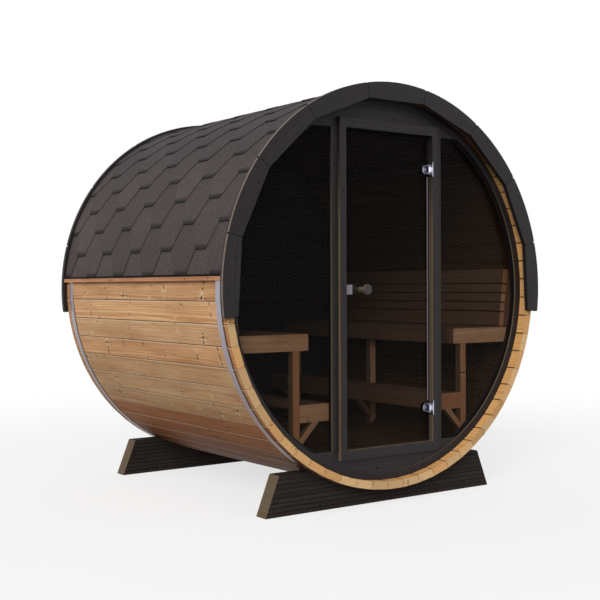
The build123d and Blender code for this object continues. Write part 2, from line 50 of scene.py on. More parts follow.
# Places on the barrel, in metres
AXIS = 1.097  # height of the barrel's axis
OUTER = 1.020  # axis to the outer faces of the staves
LINING = OUTER - 0.030  # axis to where the staves count as the lining
END = 0.876  # middle to the stave ends
FACE = 0.900  # middle to the fascia's face
WALL = 0.825  # middle to the front wall's face
PANEL = WALL - 0.004  # middle to the face of the panels over and under the door
FRAME = 0.846  # middle to the door frame's face
CRADLE = 0.793  # middle to the outer face of each cradle
STRAP = 0.837  # middle to the outer edge of each strap
STRAP_WIDTH = 0.041
STAVES = 60
STAVE_TURN = math.tau / STAVES  # angle that one stave takes
FASCIA = 97.3  # ridge to the fascia's lower ends, in degrees
FASCIA_BOARDS = 9
FASCIA_TURN = 2 * FASCIA / FASCIA_BOARDS  # degrees that one of its boards takes
FASCIA_SCREWS = ((6.4, 1.021), (FASCIA_TURN - 5.6, 0.983))  # degrees into each board, and axis to the screw
UNDERSIDE = 0.457  # height below which the staves turn to the ground


def srgb(red, green, blue):
    """Linear colour of an sRGB triple written from 0 to 255."""
    return tuple(((v / 255 + 0.055) / 1.055) ** 2.4 for v in (red, green, blue)) + (1.0,)


class Graph:
    """A material's node tree round one Principled shader, with the colour painted so far."""

    def __init__(self, name):
        self.material = bpy.data.materials.new(name)
        self.material.use_nodes = True
        self.tree = self.material.node_tree
        self.tree.nodes.clear()
        self.shader = self.node("BsdfPrincipled")
        self.node("OutputMaterial", {"Surface": self.shader.outputs[0]})
        self.colour = None

    def node(self, kind, inputs=None, **settings):
        made = self.tree.nodes.new("ShaderNode" + kind)
        for key, value in settings.items():
            setattr(made, key, value)
        for key, value in (inputs or {}).items():
            self.put(made.inputs[key], value)
        return made

    def put(self, socket, value):
        if isinstance(value, bpy.types.NodeSocket):
            self.tree.links.new(value, socket)
        else:
            socket.default_value = value

    def set(self, **values):
        for key, value in values.items():
            self.put(self.shader.inputs[key.replace("_", " ")], value)

    def math(self, operation, *values):
        return self.node("Math", dict(enumerate(values)), operation=operation).outputs[0]

    def chain(self, operation, values):
        total = values[0]
        for value in values[1:]:
            total = self.math(operation, total, value)
        return total

    def add(self, *values):
        return self.chain("ADD", values)

    def mul(self, *values):
        return self.chain("MULTIPLY", values)

    def sub(self, first, second):
        return self.math("SUBTRACT", first, second)

    def abs(self, value):
        return self.math("ABSOLUTE", value)

    def fract(self, value):
        return self.math("FRACT", value)

    def less(self, first, second):
        return self.math("LESS_THAN", first, second)

    def greater(self, first, second):
        return self.math("GREATER_THAN", first, second)

    def hypot(self, first, second):
        return self.math("SQRT", self.add(self.math("POWER", first, 2.0), self.math("POWER", second, 2.0)))

    def about(self, value, middle, spread):
        """A 0 to 1 value moved to middle plus or minus half of spread."""
        return self.math("MULTIPLY_ADD", value, spread, middle - spread / 2)

    def smooth(self, value, start, stop):
        made = self.node("MapRange", {0: value, 1: start, 2: stop}, interpolation_type="SMOOTHSTEP")
        return made.outputs[0]

    def mix(self, factor, first, second, blend="MIX"):
        made = self.node("Mix", {0: factor, 6: first, 7: second}, data_type="RGBA", blend_type=blend)
        return made.outputs[2]

    def paint(self, factor, tone, blend="MIX"):
        """Lays an sRGB tone over the colour so far."""
        self.colour = self.mix(factor, self.colour, srgb(*tone), blend)

    def brighten(self, colour, value):
        return self.node("HueSaturation", {"Value": value, "Color": colour}).outputs[0]

    def vec(self, x, y, z):
        return self.node("CombineXYZ", {0: x, 1: y, 2: z}).outputs[0]

    def split(self, vector):
        return self.node("SeparateXYZ", {0: vector}).outputs

    def noise(self, vector, scale, detail=2.0, rough=0.5):
        inputs = {"Vector": vector, "Scale": scale, "Detail": detail, "Roughness": rough}
        return self.node("TexNoise", inputs).outputs[0]

    def value(self, name):
        return self.node("Attribute", attribute_name=name).outputs["Fac"]

    def vector(self, name):
        return self.node("Attribute", attribute_name=name).outputs["Vector"]

    def place(self):
        return self.node("TexCoord").outputs["Object"]

    def bump(self, height, strength, distance):
        made = self.node("Bump", {"Strength": strength, "Distance": distance, "Height": height})
        self.put(self.shader.inputs["Normal"], made.outputs[0])


class Timber(Graph):
    """Sawn softwood as a solid texture along each board, and the tones that single pieces get over it."""

    def __init__(self, name, pale, tan, deep, blush, knot, knots=1.0, checks=0.6, vary=0.22):
        super().__init__(name)
        self.x, self.y, self.z = self.split(self.vector("grain"))
        self.long_half, self.wide_half, self.thick_half = self.split(self.vector("size"))
        board = self.value("board")
        self.seed = self.mul(board, 61.7)
        self.second = self.fract(self.mul(board, 7.31))
        self.third = self.fract(self.mul(board, 17.83))
        self.turned = self.split(self.node("NewGeometry").outputs["Normal"])
        self.spot = self.split(self.place())
        self.over_axis = self.sub(self.spot[2], AXIS)
        self.radius = self.hypot(self.spot[0], self.over_axis)
        self.knot = knot

        halo, grown = self.grow_branches(knots)
        self.grow_rings(halo)
        self.colour = self.mix(self.figure, srgb(*pale), srgb(*tan))
        self.paint(self.mul(self.smooth(self.streaks(2.0, 9.0), 0.42, 0.78), 0.55), deep)
        self.paint(self.smooth(self.second, 0.35, 1.0), blush, "MULTIPLY")
        self.colour = self.brighten(self.colour, self.about(self.third, 1.0, vary))
        self.paint(self.mul(halo, self.about(grown, 0.4, 0.5)), [min(255, v * 1.06) for v in pale])
        self.paint(self.mul(self.heart, 0.92), knot)
        pins = self.node("TexVoronoi", {"Vector": self.lengthwise(5.5, 24.0), "Scale": 1.0})
        chosen = self.greater(self.split(pins.outputs["Color"])[0], 1 - 0.2 * knots)
        self.paint(self.mul(self.smooth(pins.outputs["Distance"], 0.11, 0.05), chosen, 0.75), knot)
        self.check = self.mul(self.smooth(self.streaks(2.6, 190.0), 0.69, 0.77), checks)
        self.paint(self.check, knot)

    def lengthwise(self, along, across):
        """Place in the board, scaled along and across it and moved by the board's own seed."""
        shifted = self.math("MULTIPLY_ADD", self.x, along, self.seed)
        return self.vec(shifted, self.mul(self.y, across), self.mul(self.z, across))

    def streaks(self, along, across, detail=2.0, rough=0.5):
        return self.noise(self.lengthwise(along, across), 1.0, detail, rough)

    def grow_branches(self, knots):
        """Branches now and then along the board, each in a pale patch that crosses it."""
        spacing = 0.25
        place = self.math("MULTIPLY_ADD", self.x, 1 / spacing, self.seed)
        cell = self.math("FLOOR", place)
        chance = self.node("TexWhiteNoise", {"Vector": self.vec(cell, self.seed, 0.0)}, noise_dimensions="3D")
        pick = self.split(chance.outputs["Color"])
        rise = self.sub(self.y, self.mul(self.about(pick[1], 0.0, 1.3), self.wide_half))
        offset = self.mul(self.sub(self.sub(place, cell), self.about(pick[0], 0.5, 0.6)), spacing)
        along = self.math("MULTIPLY_ADD", rise, self.about(pick[2], 0.0, 0.9), offset)
        reach = self.abs(along)
        mottle = self.noise(self.vec(self.add(self.x, self.seed), self.y, self.z), 55.0, 3.0, 0.6)
        branch = self.greater(self.fract(self.mul(pick[0], 9.17)), 1 - 0.72 * knots)
        grown = self.fract(self.mul(pick[2], 5.71))
        spread = self.add(reach, self.mul(self.abs(rise), 0.55), self.about(mottle, 0.0, 0.05))
        halo = self.mul(self.smooth(spread, self.about(grown, 0.028, 0.03), 0.002), branch)

        # Most run right across as broken dashes, and every fourth one is a round knot with a crack through it
        broken = self.noise(self.vec(self.mul(cell, 7.3), self.mul(self.y, 42.0), self.seed), 1.0, 2.0, 0.6)
        width = self.add(reach, self.about(mottle, 0.0, 0.008))
        dashes = self.mul(self.smooth(width, 0.0085, 0.0035), self.smooth(broken, 0.5, 0.58), branch)
        rounded = self.mul(self.greater(grown, 0.74), branch)
        oval = self.hypot(self.mul(along, 1 / 0.012), self.mul(rise, 1 / 0.009))
        core = self.mul(self.smooth(self.add(oval, self.about(mottle, 0.0, 1.5)), 1.25, 0.5), rounded)
        line = self.abs(self.math("MULTIPLY_ADD", mottle, 0.012, self.sub(rise, 0.006)))
        crack = self.mul(self.smooth(line, 0.0034, 0.0012), self.smooth(reach, 0.075, 0.02), rounded, 0.8)
        dashes = self.mul(dashes, self.about(grown, 0.8, 0.4))
        self.heart = self.math("MAXIMUM", dashes, self.math("MAXIMUM", core, crack))
        return halo, grown

    def grow_rings(self, halo):
        """Growth rings round a pith that wanders beside the board, with streaks and fibres along it."""
        wander = self.noise(self.vec(self.mul(self.x, 0.9), self.seed, 0.0), 1.0, 1.0)
        ring_y = self.add(self.y, self.about(self.second, 0.0, 0.11), self.about(wander, 0.0, 0.06))
        ring_z = self.add(self.z, self.about(self.third, 0.055, 0.05), self.mul(halo, 0.010))
        round_pith = self.vec(self.math("MULTIPLY_ADD", self.x, 0.06, self.seed), ring_y, ring_z)
        wave = self.node("TexWave", {"Vector": round_pith, "Scale": 42.0, "Distortion": 1.8, "Detail": 2.0,
                                     "Detail Scale": 0.7},
                         wave_type="RINGS", rings_direction="X", wave_profile="SAW")
        self.rings = wave.outputs["Fac"]
        self.fibre = self.streaks(18.0, 620.0)
        figure = self.add(self.mul(self.rings, 0.36), self.mul(self.streaks(1.7, 55.0, 4.0, 0.62), 0.62),
                          self.mul(self.streaks(4.5, 150.0, 3.0, 0.6), 0.5), self.mul(self.fibre, 0.15))
        self.figure = self.smooth(figure, 0.45, 1.1)

    def tint_tips(self, tone):
        """A tone on the last few centimetres of each board."""
        tip = self.smooth(self.sub(self.long_half, self.abs(self.x)), 0.043, 0.036)
        self.paint(self.mul(tip, 0.55), tone, "MULTIPLY")

    def tint_flanks(self, tone, *where):
        """A tone on the faces that don't look along the barrel, within these masks."""
        away = self.mul(self.smooth(self.abs(self.turned[1]), 0.5, 0.3), *where)
        flank = self.mix(self.figure, srgb(*tone), srgb(*(v * 0.84 for v in tone)))
        self.colour = self.mix(away, self.colour, flank)

    def fascia_edge(self):
        """Masks of the narrow outer edge at the fascia's face."""
        at_face = self.smooth(self.abs(self.spot[1]), FACE - 0.016, FACE - 0.011)
        return self.greater(self.radius, 1.0425), at_face

    def frame_edges(self):
        """Masks of the edges at the faces of the door frame and the front wall, fading out upwards so that the upper
        edges keep the dark paint as painted shade.
        """
        depth = self.abs(self.spot[1])
        at_wall = self.mul(self.smooth(depth, WALL - 0.009, WALL - 0.006), self.less(depth, WALL + 0.0005))
        front = self.math("MAXIMUM", self.smooth(depth, FRAME - 0.017, FRAME - 0.013), at_wall)
        return front, self.smooth(self.spot[2], 1.85, 1.3)

    def draw_fascia_joints(self):
        """Dark joints between the fascia's boards, and two screw heads on each board."""
        turn = self.math("ARCTAN2", self.spot[0], self.over_axis)
        part = self.fract(self.mul(self.math("MULTIPLY_ADD", turn, 180 / math.pi, FASCIA), 1 / FASCIA_TURN))
        gap = self.mul(self.math("MINIMUM", part, self.sub(1.0, part)), math.radians(FASCIA_TURN), self.radius)
        self.paint(self.smooth(gap, 0.0056, 0.003), (8, 7, 7))
        for degrees, reach in FASCIA_SCREWS:
            arc = self.mul(self.sub(part, degrees / FASCIA_TURN), math.radians(FASCIA_TURN) * reach)
            self.paint(self.smooth(self.hypot(arc, self.sub(self.radius, reach)), 0.0086, 0.007), (7, 6, 6))

    def shade_underside(self, tone):
        """Painted shade: darker staves below UNDERSIDE and towards the ground, and a painted shadow band in front of
        each strap.
        """
        height = self.spot[2]
        # Painted shade on the staves below UNDERSIDE, which face the ground
        under = self.smooth(height, UNDERSIDE, UNDERSIDE - 0.006)
        self.paint(self.mul(under, self.about(self.third, 0.85, 0.3)), tone, "MULTIPLY")
        # Painted shade, deepening towards the ground
        self.paint(self.smooth(height, 0.42, 0.15), (150, 134, 124), "MULTIPLY")
        # Painted shadow of each strap on the staves just in front of it
        for edge in (-STRAP, STRAP - STRAP_WIDTH):
            band = self.smooth(self.spot[1], edge - 0.016, edge - 0.009)
            band = self.mul(band, self.less(self.spot[1], edge), self.smooth(height, 1.13, 0.95))
            self.paint(self.mul(band, 0.85), (56, 38, 29))

    def line_inside(self, tone):
        """Bare lining on the staves' inner faces, with painted shade under the roof and behind the front wall."""
        self.lining = self.less(self.radius, LINING)
        bare = self.mix(self.figure, srgb(240, 190, 126), srgb(208, 152, 92))
        # Painted shadow of the fascia on the lining near the top
        bare = self.mix(self.smooth(self.spot[2], 1.66, 1.84), bare, srgb(120, 104, 92), "MULTIPLY")
        self.colour = self.mix(self.lining, self.colour, bare)
        # Painted shade on the lining inside the cabin, behind the front wall
        behind = self.less(self.abs(self.spot[1]), WALL - 0.005)
        self.paint(self.mul(self.lining, behind), tone, "MULTIPLY")

    def show_ends(self, tone, axis, vary, cracked=False):
        """End grain on the faces that look along one axis."""
        self.facing = self.abs(self.turned[axis])
        self.cut = self.smooth(self.facing, 0.7, 0.8)
        speck = self.smooth(self.add(self.fibre, self.mul(self.rings, 0.25)), 0.45, 0.85)
        ended = self.mix(speck, srgb(*tone), srgb(*(v * 0.8 for v in tone)))
        ended = self.mix(self.smooth(self.second, 0.3, 0.9), ended, srgb(252, 236, 216), "MULTIPLY")
        ended = self.brighten(ended, self.about(self.third, 1.0, vary))
        if cracked:
            cracks = self.noise(self.vec(self.seed, self.mul(self.y, 60.0), self.mul(self.z, 25.0)), 1.0, 2.0)
            ended = self.mix(self.mul(self.smooth(cracks, 0.66, 0.74), 0.6), ended, srgb(*self.knot))
        self.colour = self.mix(self.cut, self.colour, ended)

    def draw_stave_joints(self, seam, highlight_tone):
        """Dark joints between the staves, faint on their ends, each with a painted highlight along the stave edge
        above it.
        """
        turn = self.abs(self.math("ARCTAN2", self.spot[0], self.over_axis))
        part = self.fract(self.math("MULTIPLY_ADD", turn, 1 / STAVE_TURN, -0.5))
        below = self.mul(part, self.radius, STAVE_TURN)
        above = self.mul(self.sub(1.0, part), self.radius, STAVE_TURN)
        # Painted highlight along the upper edge of each stave, in place of light on its arris
        painted_highlight = self.mul(self.smooth(below, 0.0085, 0.005), self.less(self.facing, 0.5), self.sub(1.0, self.lining))
        self.paint(self.mul(painted_highlight, 0.42), highlight_tone)
        nearest = self.sub(self.math("MINIMUM", below, above), self.mul(self.lining, 0.0018))
        strength = self.math("MULTIPLY_ADD", self.cut, -0.78, 1.0)
        self.paint(self.mul(self.smooth(nearest, seam, seam * 0.35), strength, 0.75), self.knot)

    def draw_board_seams(self, seam):
        """Dark lines where boards meet, on the faces that look along the barrel."""
        edge = self.sub(self.thick_half, self.abs(self.z))
        seen = self.smooth(self.abs(self.turned[1]), 0.2, 0.5)
        self.paint(self.mul(self.smooth(edge, seam, seam * 0.35), seen, 0.75), self.knot)

    def finish(self, rough=0.62, relief=0.4, gloss=0.35):
        self.set(Base_Color=self.colour, Roughness=self.about(self.figure, rough, 0.16), Specular_IOR_Level=gloss)
        height = self.add(self.mul(self.fibre, 0.5), self.mul(self.figure, 0.35), self.mul(self.check, -0.8),
                          self.mul(self.heart, -0.5))
        self.bump(height, relief, 0.0012)
        return self.material


def shingle():
    """Mineral coated bitumen: grit, a tone of its own on each tab, a dark band over its lower edge."""
    g = Graph("shingle")
    place = g.place()
    speck = g.split(g.node("TexVoronoi", {"Vector": place, "Scale": 620.0}).outputs["Color"])
    cloud = g.noise(place, 9.0, 4.0, 0.6)
    fine = g.noise(place, 160.0, 3.0, 0.65)
    coarse = g.noise(place, 120.0, 2.0, 0.7)
    band = g.value("band")
    g.colour = g.mix(g.value("tone"), srgb(70, 62, 61), srgb(83, 74, 72))
    g.paint(g.mul(g.smooth(cloud, 0.4, 0.75), 0.5), (70, 62, 62))
    g.colour = g.brighten(g.colour, g.about(g.smooth(coarse, 0.36, 0.64), 1.0, 0.62))
    # Painted shade: the shingles get darker towards the ridge
    g.paint(g.smooth(g.split(place)[2], 1.45, 2.0), (194, 191, 205), "MULTIPLY")
    g.paint(g.mul(g.smooth(speck[0], 0.7, 1.0), 0.45), (124, 114, 109))
    g.paint(g.mul(g.smooth(speck[1], 0.72, 1.0), 0.6), (40, 35, 36))
    g.paint(g.mul(g.smooth(fine, 0.5, 0.8), 0.35), (52, 46, 46))
    g.paint(g.mul(g.smooth(band, 0.029, 0.015), 0.8), (34, 29, 29))
    g.paint(g.smooth(band, 0.011, 0.006), (17, 14, 15))
    g.paint(g.value("rim"), (24, 21, 22))
    g.set(Base_Color=g.colour, Roughness=g.about(speck[2], 0.86, 0.2), Specular_IOR_Level=0.3)
    g.bump(g.add(g.mul(speck[2], 0.6), g.mul(fine, 0.7)), 0.6, 0.0016)
    return g.material


def steel(name, light, dark, rough, spangle, low=None):
    """Sheet or turned metal with a mottled finish, and painted shade darkening it towards the ground where low is
    given.
    """
    g = Graph(name)
    place = g.place()
    flake = g.split(g.node("TexVoronoi", {"Vector": place, "Scale": spangle}).outputs["Color"])[0]
    blend = g.add(g.mul(flake, 0.35), g.mul(g.noise(place, 14.0, 4.0, 0.6), 0.65))
    g.colour = g.mix(blend, srgb(*dark), srgb(*light))
    if low:
        # Painted shade: darker towards the ground
        g.paint(g.smooth(g.split(place)[2], AXIS, 0.3), low, "MULTIPLY")
    g.set(Base_Color=g.colour, Metallic=1.0, Roughness=g.about(blend, rough, 0.16))
    g.bump(g.noise(place, 300.0, 2.0), 0.05, 0.001)
    return g.material


def tinted_glass():
    g = Graph("tinted_glass")
    smear = g.noise(g.place(), 2.2, 3.0, 0.6)
    g.set(Base_Color=g.mix(smear, srgb(9, 7, 6), srgb(16, 13, 11)), Roughness=g.about(smear, 0.035, 0.03))
    g.set(Specular_IOR_Level=0.1, Alpha=0.24)
    return g.material


def coat(name, dark, light, rough, gloss=0.5):
    """Plain moulded or painted surface with a slight haze."""
    g = Graph(name)
    haze = g.noise(g.place(), 120.0, 3.0)
    g.set(Base_Color=g.mix(haze, srgb(*dark), srgb(*light)))
    g.set(Roughness=g.about(haze, rough, 0.2), Specular_IOR_Level=gloss)
    g.bump(haze, 0.08, 0.0005)
    return g.material


# Timbers, each with its pale, middle and deep tone, a tint that some boards get and the tone of its knots
staves = Timber("stave_wood", (247, 207, 161), (200, 152, 107), (174, 124, 83), (251, 241, 234), (48, 27, 17))
staves.tint_tips((225, 185, 150))
# Painted shade on the staves that face the ground
staves.shade_underside((196, 156, 122))
# (76, 71, 68) is the painted shade inside the cabin
staves.line_inside((76, 71, 68))
staves.show_ends((238, 196, 143), axis=1, vary=0.34, cracked=True)
# The second colour is the painted highlight along each stave's upper edge
staves.draw_stave_joints(0.0036, (255, 234, 200))
stave_wood = staves.finish(gloss=0.18)

PAINTED = ((36, 31, 34), (27, 23, 25), (24, 21, 23), (246, 238, 234), (14, 12, 13))
PAINT_FINISH = {"rough": 0.55, "relief": 0.5, "gloss": 0.3}
dark_boards = Timber("dark_wood", *PAINTED, knots=0.8, checks=0.5, vary=0.3)
dark_boards.tint_flanks((120, 105, 82), *dark_boards.frame_edges())
dark_wood = dark_boards.finish(**PAINT_FINISH)
front_boards = Timber("fascia_wood", *PAINTED, knots=0.5, checks=0.5, vary=0.3)
front_boards.tint_flanks((134, 117, 106), *front_boards.fascia_edge())
front_boards.draw_fascia_joints()
fascia_wood = front_boards.finish(**PAINT_FINISH)
rear_boards = Timber("rear_wood", *PAINTED, knots=0.5, checks=0.5, vary=0.3)
rear_boards.draw_fascia_joints()
rear_wood = rear_boards.finish(**PAINT_FINISH)

cradles = Timber("cradle_wood", (57, 50, 47), (43, 37, 35), (36, 31, 29), (240, 234, 230), (7, 6, 6),
                 knots=0.6, checks=0.8)
cradles.show_ends((118, 102, 83), axis=0, vary=0.03)
cradles.draw_board_seams(0.0032)
cradle_wood = cradles.finish(rough=0.72, relief=0.7, gloss=0.12)

benches = Timber("bench_wood", (208, 164, 124), (176, 130, 94), (158, 108, 75), (240, 214, 194), (76, 46, 31),
                 knots=0.5)
# Painted shade: the bench faces that don't look along the barrel, tops and sides, get a darker tone
benches.tint_flanks((113, 83, 61))
bench_wood = benches.finish()
battens = Timber("batten_wood", (204, 147, 104), (172, 119, 82), (150, 98, 66), (240, 230, 220), (56, 34, 24))
batten_wood = battens.finish()
flooring = Timber("floor_wood", (96, 72, 50), (74, 53, 35), (66, 46, 30), (238, 212, 190), (40, 25, 16))
floor_wood = flooring.finish()
knobs = Timber("knob_wood", (76, 71, 67), (62, 58, 55), (56, 52, 49), (245, 236, 228), (40, 36, 34), knots=0.0)
knobs.tint_flanks((118, 105, 84))
knob_wood = knobs.finish()

shingle_grit = shingle()
# The low tone is painted shade on the straps' lower parts
strap_steel = steel("strap_steel", (178, 174, 184), (152, 148, 158), 0.36, 160.0, low=(196, 172, 156))
hinge_chrome = steel("hinge_chrome", (150, 150, 164), (112, 112, 126), 0.14, 400.0)
leaf_steel = steel("leaf_steel", (222, 222, 232), (204, 204, 216), 0.3, 400.0)
glass = tinted_glass()
latch_plastic = coat("latch_plastic", (132, 124, 136), (150, 141, 152), 0.42)
# Near black: the screw heads' own colour, and on the drip edges also a painted shadow under the eave
drip_paint = coat("drip_paint", (12, 10, 10), (20, 17, 17), 0.75, 0.08)


WELD = 1e-5  # corners closer than this are one
SLIVER = 5e-5  # edges shorter than this go after a chamfer
CORNER_GRID = 2e4  # steps to a metre at which mark_boards takes corners for one
EASED_FROM = math.radians(40)  # edges sharper than this are eased


def mark_boards(obj, seed):
    """Writes each board's own axes, half sizes and random value to the mesh, for its timber."""
    mesh = obj.data
    points = np.zeros(len(mesh.vertices) * 3)
    mesh.vertices.foreach_get("co", points)
    points = points.reshape(-1, 3)
    unique, owner = np.unique(np.round(points * CORNER_GRID).astype(np.int64), axis=0, return_inverse=True)
    owner = owner.ravel()
    parent = list(range(len(unique)))

    def root(item):
        while parent[item] != item:
            parent[item] = parent[parent[item]]
            item = parent[item]
        return item

    for edge in mesh.edges:
        first, second = (root(owner[v]) for v in edge.vertices)
        parent[first] = second
    group = np.array([root(i) for i in range(len(unique))])[owner]
    pick = random.Random(seed)
    grain, size, board = np.zeros_like(points), np.zeros_like(points), np.zeros(len(points))
    for label in sorted(set(group), key=lambda k: tuple(points[group == k].mean(0).round(4))):
        mine = group == label
        own = points[mine] - points[mine].mean(0)
        axes = np.linalg.eigh(np.cov(own.T))[1][:, ::-1]
        axes = axes * np.sign(axes[np.abs(axes).argmax(0), range(3)])
        if abs(axes[2, 1]) > 0.15:
            axes[:, 1] *= np.sign(axes[2, 1])
        own = own @ axes
        low, high = own.min(0), own.max(0)
        grain[mine] = own - (low + high) / 2
        size[mine] = (high - low) / 2
        board[mine] = pick.random()
    for name, data in (("grain", grain), ("size", size)):
        layer = mesh.attributes.new(name, "FLOAT_VECTOR", "POINT")
        layer.data.foreach_set("vector", data.astype(np.float32).ravel())
    layer = mesh.attributes.new("board", "FLOAT", "POINT")
    layer.data.foreach_set("value", board.astype(np.float32))


def drop_custom_normals(mesh):
    if "custom_normal" in mesh.attributes:
        mesh.attributes.remove(mesh.attributes["custom_normal"])


def dress(name, material, bevel=0.0):
    """Gives a CAD node its material and, where bevel is given, eased edges."""
    obj = nodes[name]
    obj.data.materials.clear()
    obj.data.materials.append(material)
    if bevel:
        drop_custom_normals(obj.data)
        obj.data.polygons.foreach_set("use_smooth", [True] * len(obj.data.polygons))
        obj.modifiers.new("weld", "WELD").merge_threshold = WELD
        edge = obj.modifiers.new("bevel", "BEVEL")
        edge.width = bevel
        edge.segments = 2
        edge.limit_method = "ANGLE"
        edge.angle_limit = EASED_FROM
        obj.modifiers.new("normal", "WEIGHTED_NORMAL")
    return obj


def new_piece(name, bm, material, body="cabin"):
    """Makes a piece of the scene's own from a bmesh, on its body and with its material slot."""
    mesh = bpy.data.meshes.new(name)
    bm.to_mesh(mesh)
    bm.free()
    obj = bpy.data.objects.new(name, mesh)
    scene.collection.objects.link(obj)
    mesh.materials.append(material)
    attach(obj, body)
    return obj


def slabs(node, levels, groove, joint, material, seed):
    """Saws a CAD node into level boards, chamfered by groove at each joint, which is open or, below zero, lapped."""
    whole = bmesh.new()
    for low, high in zip(levels, levels[1:]):
        low += joint / 2 if low > levels[0] else 0.0
        high -= joint / 2 if high < levels[-1] else 0.0
        bm = bmesh.new()
        bm.from_mesh(nodes[node].data)
        bmesh.ops.remove_doubles(bm, verts=bm.verts, dist=WELD)
        bmesh.ops.dissolve_limit(bm, angle_limit=math.radians(1), verts=bm.verts, edges=bm.edges)
        rims = []
        for height, way in ((low, -1), (high, 1)):
            cut = bmesh.ops.bisect_plane(bm, geom=[*bm.verts, *bm.edges, *bm.faces], plane_co=(0, 0, height),
                                         plane_no=(0, 0, way), clear_outer=True)
            edges = [e for e in cut["geom_cut"] if isinstance(e, bmesh.types.BMEdge)]
            if edges:
                bmesh.ops.holes_fill(bm, edges=edges)
                rims.append(height)
        if not bm.verts:
            bm.free()
            continue
        sharp = [e for e in bm.edges if any(all(abs(v.co.z - h) < 1e-6 for v in e.verts) for h in rims)
                 and len(e.link_faces) == 2 and e.calc_face_angle(0) > 0.5
                 and abs(e.verts[0].co.x - e.verts[1].co.x) > 0.01]
        bmesh.ops.bevel(bm, geom=sharp, offset=groove, segments=1, affect="EDGES", clamp_overlap=True)
        bmesh.ops.remove_doubles(bm, verts=bm.verts, dist=SLIVER)
        for face in bm.faces:
            face.smooth = False
        part = bpy.data.meshes.new("part")
        bm.to_mesh(part)
        bm.free()
        whole.from_mesh(part)
        bpy.data.meshes.remove(part)
    obj = new_piece(node + "_boards", whole, material)
    drop_custom_normals(obj.data)
    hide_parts(node)
    mark_boards(obj, seed)


# Shingles: courses of tabs laid up the barrel, each course over the one below
EXPOSURE = math.radians(7.18)  # angle of each course that shows
PITCH = 0.3352  # from tab to tab
COURSES = 12
LOWEST = math.radians(86.4)  # ridge to the lower edge of the first course
EAVE = math.radians(86.2)  # ridge to where the roof is cut off
RIDGE_STOP = math.radians(0.25)  # ridge to where a course ends
BED = 1.0216  # axis to what the sheets lie on
SHEET = 0.0028  # thickness
TAB_FOOT, TAB_FLARE, TAB_HEAD = 0.15, 0.2, 0.35  # half widths of a tab below, added upwards and above, in pitches
TAB_STEPS = 4
HEAD_STEPS, HEAD_STEP = 5, 0.28  # rows of the covered strip, and their height in exposures
TAB_CENTRES = (-0.1415, 0.026)  # of even and odd courses
TABS = 9  # in a course, enough to pass both ends
REST = 0.0002  # least height of a sheet's underside over its bed
LIFT = 0.0072  # added to it at the lower edge
LIFT_REACH = 2.5  # exposures over which that fades
FAR = 1.0  # angle past any lower edge, for sheets without a dark band
tones = random.Random(11)


def lift(steps):
    """Height of a sheet's underside over its bed, so many exposures above its lower edge."""
    return REST + LIFT * max(0.0, 1 - steps / LIFT_REACH)


def on_roof(side, angle, y, height):
    radius = BED + height
    return side * radius * math.sin(angle), y, AXIS + radius * math.cos(angle)


def sheet(bm, faces):
    """Adds these top faces, the same faces one sheet lower and the walls between their outer edges."""
    tops, unders, edges = {}, {}, set()
    for points in faces:
        keys = []
        for point in points:
            key = tuple(round(c, 6) for c in point)
            if key not in tops:
                tops[key] = bm.verts.new(key)
                unders[key] = bm.verts.new(Vector(key) - SHEET * Vector((key[0], 0, key[2] - AXIS)).normalized())
            if key not in keys:
                keys.append(key)
        if len(keys) < 3:
            continue
        first, second, third = (Vector(key) for key in keys[:3])
        if (second - first).cross(third - first).dot(Vector((first.x, 0, first.z - AXIS))) < 0:
            keys.reverse()
        bm.faces.new([tops[key] for key in keys])
        bm.faces.new([unders[key] for key in reversed(keys)])
        for edge in zip(keys, keys[1:] + keys[:1]):
            if edge[::-1] in edges:
                edges.remove(edge[::-1])
            else:
                edges.add(edge)
    for first, second in edges:
        bm.faces.new((tops[second], tops[first], unders[first], unders[second]))


def course_faces(side, bottom, centre):
    """Top faces of one course: its tabs, and the strip above them that the next course covers."""
    faces = []
    first = math.floor((-END - centre) / PITCH) - 1
    tabs = [centre + k * PITCH for k in range(first, first + TABS)]

    def slope(steps):
        return min(EAVE, max(RIDGE_STOP, bottom - steps * EXPOSURE))

    def point(y, steps):
        return on_roof(side, slope(steps), max(-END, min(END, y)), lift(steps) + SHEET)

    def quad(left, right, low, high):
        """One face between two edges, unless it is cut off at an end, the ridge or the eave."""
        corners = [point(left(low), low), point(right(low), low), point(right(high), high), point(left(high), high)]
        along = [corner[1] for corner in corners]
        if max(along) - min(along) > 1e-4 and slope(low) - slope(high) > 1e-4:
            faces.append(corners)

    for tab in tabs:
        for step in range(TAB_STEPS):
            quad(lambda s, t=tab: t - (TAB_FOOT + TAB_FLARE * s) * PITCH,
                 lambda s, t=tab: t + (TAB_FOOT + TAB_FLARE * s) * PITCH, step / TAB_STEPS, (step + 1) / TAB_STEPS)
        for step in range(HEAD_STEPS):
            low, high = 1 + step * HEAD_STEP, 1 + (step + 1) * HEAD_STEP
            quad(lambda s, t=tab: t - TAB_HEAD * PITCH, lambda s, t=tab: t + TAB_HEAD * PITCH, low, high)
            quad(lambda s, t=tab: t + TAB_HEAD * PITCH, lambda s, t=tab: t + (1 - TAB_HEAD) * PITCH, low, high)
    return faces


